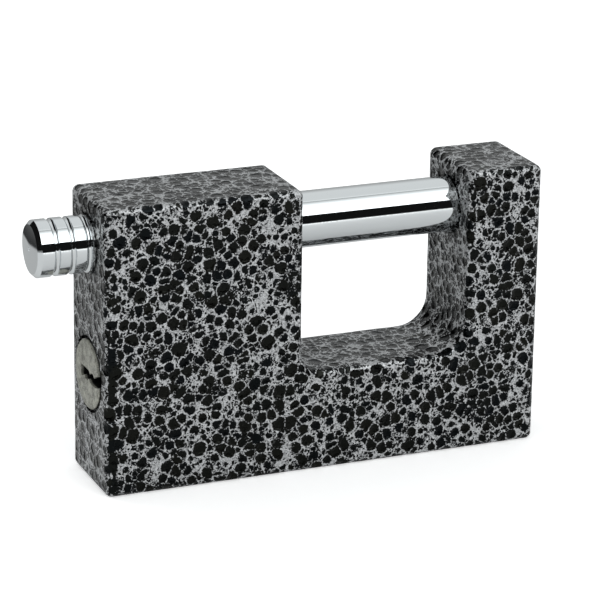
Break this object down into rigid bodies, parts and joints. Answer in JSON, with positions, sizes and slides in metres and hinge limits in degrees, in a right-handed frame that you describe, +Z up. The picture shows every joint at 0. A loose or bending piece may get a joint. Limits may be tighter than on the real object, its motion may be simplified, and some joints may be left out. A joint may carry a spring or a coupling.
{
  "type": "rectangular shutter padlock",
  "caption": "Rectangular shutter padlock with a hammertone cast U-shaped case, a sliding chromed bolt across the gap, a ringed grip and a key plug in the end face.",
  "frame": {"origin": "centre of the case's bottom face", "axes": "+X along the length, from the grip towards the leg; +Y from front to back; +Z up"},
  "size_m": [0.1059, 0.021, 0.0595],
  "materials": {
    "hammertone_case": "satin",
    "chrome_bolt": "polished",
    "plug_metal": "satin",
    "inner_steel": "satin",
    "pin_brass": "satin"
  },
  "bodies": {
    "case": {"body": "hammertone_case", "locking_pin_spring": "inner_steel", "locking_pin_bore_plug": "inner_steel", "plug_retaining_pin": "inner_steel", "pin_spring_1": "inner_steel", "pin_spring_2": "inner_steel", "pin_spring_3": "inner_steel", "pin_spring_4": "inner_steel", "pin_spring_5": "inner_steel", "chamber_plug_1": "inner_steel", "chamber_plug_2": "inner_steel", "chamber_plug_3": "inner_steel", "chamber_plug_4": "inner_steel", "chamber_plug_5": "inner_steel"},
    "bolt": {"shackle_bolt": "chrome_bolt"},
    "plug": {"key_plug": "plug_metal", "crank_pin": "inner_steel"},
    "locking_pin": {"locking_pin": "inner_steel"},
    "driver_pin_1": {"driver_pin_1": "inner_steel"},
    "driver_pin_2": {"driver_pin_2": "inner_steel"},
    "driver_pin_3": {"driver_pin_3": "inner_steel"},
    "driver_pin_4": {"driver_pin_4": "inner_steel"},
    "driver_pin_5": {"driver_pin_5": "inner_steel"},
    "key_pin_1": {"key_pin_1": "pin_brass"},
    "key_pin_2": {"key_pin_2": "pin_brass"},
    "key_pin_3": {"key_pin_3": "pin_brass"},
    "key_pin_4": {"key_pin_4": "pin_brass"},
    "key_pin_5": {"key_pin_5": "pin_brass"}
  },
  "joints": [
    {"name": "bolt_slide", "type": "slide", "parent": "case", "child": "bolt", "axis": [-1, 0, 0], "range_m": [0, 0.0453]},
    {"name": "plug_turn", "type": "hinge", "parent": "case", "child": "plug", "pos_m": [-0.0474, 0, 0.0229], "axis": [1, 0, 0], "range_deg": [0, 90]},
    {"name": "locking_pin_lift", "type": "slide", "parent": "case", "child": "locking_pin", "axis": [0, 0, 1], "range_m": [0, 0.003], "deforming": ["locking_pin_spring"]},
    {"name": "driver_pin_1_press", "type": "slide", "parent": "case", "child": "driver_pin_1", "axis": [0, 0, -1], "range_m": [0, 0.0015], "stiffness_N_per_m": 60, "springref_m": -0.003, "deforming": ["pin_spring_1"]},
    {"name": "driver_pin_2_press", "type": "slide", "parent": "case", "child": "driver_pin_2", "axis": [0, 0, -1], "range_m": [0, 0.0015], "stiffness_N_per_m": 60, "springref_m": -0.003, "deforming": ["pin_spring_2"]},
    {"name": "driver_pin_3_press", "type": "slide", "parent": "case", "child": "driver_pin_3", "axis": [0, 0, -1], "range_m": [0, 0.0015], "stiffness_N_per_m": 60, "springref_m": -0.003, "deforming": ["pin_spring_3"]},
    {"name": "driver_pin_4_press", "type": "slide", "parent": "case", "child": "driver_pin_4", "axis": [0, 0, -1], "range_m": [0, 0.0015], "stiffness_N_per_m": 60, "springref_m": -0.003, "deforming": ["pin_spring_4"]},
    {"name": "driver_pin_5_press", "type": "slide", "parent": "case", "child": "driver_pin_5", "axis": [0, 0, -1], "range_m": [0, 0.0015], "stiffness_N_per_m": 60, "springref_m": -0.003, "deforming": ["pin_spring_5"]},
    {"name": "key_pin_1_rise", "type": "slide", "parent": "plug", "child": "key_pin_1", "axis": [0, 0, 1], "range_m": [0, 0.001]},
    {"name": "key_pin_2_rise", "type": "slide", "parent": "plug", "child": "key_pin_2", "axis": [0, 0, 1], "range_m": [0, 0.001]},
    {"name": "key_pin_3_rise", "type": "slide", "parent": "plug", "child": "key_pin_3", "axis": [0, 0, 1], "range_m": [0, 0.001]},
    {"name": "key_pin_4_rise", "type": "slide", "parent": "plug", "child": "key_pin_4", "axis": [0, 0, 1], "range_m": [0, 0.001]},
    {"name": "key_pin_5_rise", "type": "slide", "parent": "plug", "child": "key_pin_5", "axis": [0, 0, 1], "range_m": [0, 0.001]}
  ],
  "couplings": [
    {"joint": "plug_turn", "follows": "locking_pin_lift", "rad_per_m": 523.59}
  ]
}
